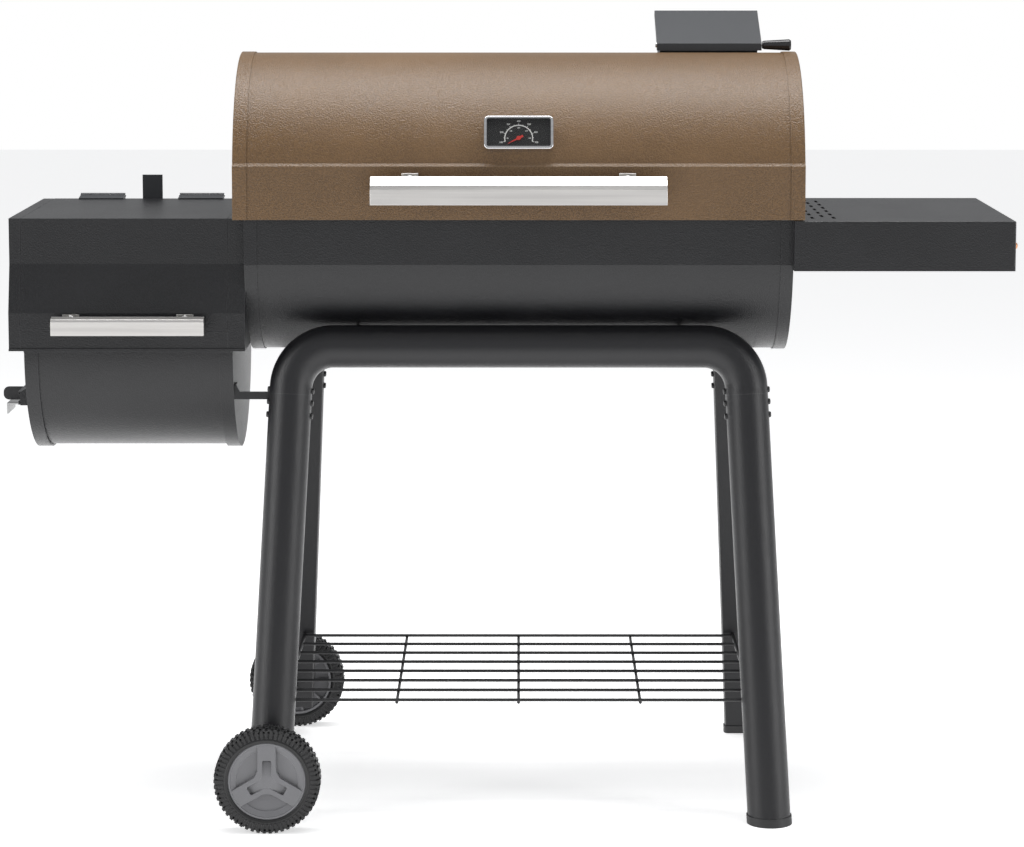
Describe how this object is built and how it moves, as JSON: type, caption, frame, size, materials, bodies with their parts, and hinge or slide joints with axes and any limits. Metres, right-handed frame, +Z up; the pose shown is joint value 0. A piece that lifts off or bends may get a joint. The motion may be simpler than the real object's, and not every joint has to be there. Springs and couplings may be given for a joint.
{
  "type": "offset smoker",
  "caption": "Barrel smoker with a side firebox, hinged lids, a gauge, an exhaust flap, a side table and a bent-tube stand on two wheels.",
  "frame": {"origin": "on the ground, under the middle of the whole object's bounding box", "axes": "+X runs from the firebox to the side table, -Y is the front with the handles, +Z is up"},
  "size_m": [1.489, 0.655, 1.1581],
  "materials": {
    "lid_paint": "brown hammered powder coat",
    "barrel_paint": "black hammered high-temperature coat",
    "frame_paint": "black textured powder coat",
    "flap_paint": "dark grey satin coat",
    "wire_paint": "dark semi-gloss coat on wire",
    "black_screw": "black coated screws",
    "stainless": "brushed along its length",
    "zinc_steel": "zinc plated",
    "iron": "matt, seasoned",
    "bezel": "bright",
    "dial_black": "near-black dial face",
    "dial_glass": "clear flat glass",
    "needle_red": "red lacquer",
    "grip_black": "gloss black",
    "shoe_black": "matt black plastic",
    "tyre_black": "black moulded tread",
    "hub_grey": "grey moulded plastic"
  },
  "bodies": {
    "stand": {"barrel_trough": "barrel_paint", "barrel_end_left": "barrel_paint", "barrel_end_right": "barrel_paint", "grate_rails": "zinc_steel", "cooking_grate_left": "iron", "cooking_grate_right": "iron", "fixed_hinge_leaves": "flap_paint", "hinge_pins": "zinc_steel", "lid_stop": "flap_paint", "firebox_end_left": "barrel_paint", "firebox_end_right": "barrel_paint", "firebox_back": "barrel_paint", "firebox_base": "barrel_paint", "fire_drum": "barrel_paint", "drum_end_left": "barrel_paint", "drum_end_right": "barrel_paint", "drum_supports": "zinc_steel", "draught_hood": "barrel_paint", "fire_grate": "iron", "side_table": "barrel_paint", "table_screws": "black_screw", "front_rail": "frame_paint", "rear_rail": "frame_paint", "front_left_leg": "frame_paint", "front_right_leg": "frame_paint", "rear_left_leg": "frame_paint", "rear_right_leg": "frame_paint", "seam_screws": "black_screw", "foot_shoes": "shoe_black", "barrel_saddles": "frame_paint", "firebox_brace": "frame_paint", "axle": "zinc_steel", "axle_hardware": "zinc_steel", "wire_shelf": "wire_paint"},
    "lid": {"lid_shell": "lid_paint", "lid_end_left": "lid_paint", "lid_end_right": "lid_paint", "lid_handle": "stainless", "lid_handle_bolts": "zinc_steel", "lid_hinge_leaves": "flap_paint", "gauge_case": "bezel", "gauge_dial": "dial_black", "gauge_glass": "dial_glass", "exhaust_collar": "flap_paint"},
    "flap": {"exhaust_flap": "flap_paint", "flap_spindle": "zinc_steel", "flap_grip": "grip_black"},
    "needle": {"gauge_needle": "needle_red"},
    "firebox_door": {"firebox_lid": "barrel_paint", "firebox_handle": "stainless", "firebox_handle_bolts": "zinc_steel", "firebox_lid_hinge_leaves": "flap_paint"},
    "slide": {"air_slide": "frame_paint"},
    "drawer": {"ash_drawer": "zinc_steel"},
    "front_wheel": {"front_tyre": "tyre_black", "front_hub": "hub_grey", "front_hub_cap": "hub_grey"},
    "rear_wheel": {"rear_tyre": "tyre_black", "rear_hub": "hub_grey", "rear_hub_cap": "hub_grey"}
  },
  "joints": [
    {"name": "lid_hinge", "type": "hinge", "parent": "stand", "child": "lid", "pos_m": [0.0275, 0.201, 0.858], "axis": [-1, 0, 0], "range_deg": [0, 85]},
    {"name": "flap_hinge", "type": "hinge", "parent": "lid", "child": "flap", "pos_m": [0.3115, 0.022, 1.109], "axis": [1, 0, 0], "range_deg": [-26, 44]},
    {"name": "needle_turn", "type": "hinge", "parent": "lid", "child": "needle", "pos_m": [0.0275, -0.17833, 0.98048], "axis": [0, 0.9041, -0.4274], "range_deg": [0, 236]},
    {"name": "firebox_hinge", "type": "hinge", "parent": "stand", "child": "firebox_door", "pos_m": [-0.54275, 0.203, 0.8686], "axis": [-1, 0, 0], "range_deg": [0, 93]},
    {"name": "air_slide_run", "type": "slide", "parent": "stand", "child": "slide", "axis": [0, 1, 0], "range_m": [-0.019, 0.019]},
    {"name": "drawer_run", "type": "slide", "parent": "stand", "child": "drawer", "axis": [-1, 0, 0], "range_m": [0, 0.22]},
    {"name": "front_wheel_turn", "type": "hinge", "parent": "stand", "child": "front_wheel", "pos_m": [-0.33075, -0.31, 0.076], "axis": [0, 1, 0], "continuous": true},
    {"name": "rear_wheel_turn", "type": "hinge", "parent": "stand", "child": "rear_wheel", "pos_m": [-0.33075, 0.31, 0.076], "axis": [0, 1, 0], "continuous": true}
  ]
}
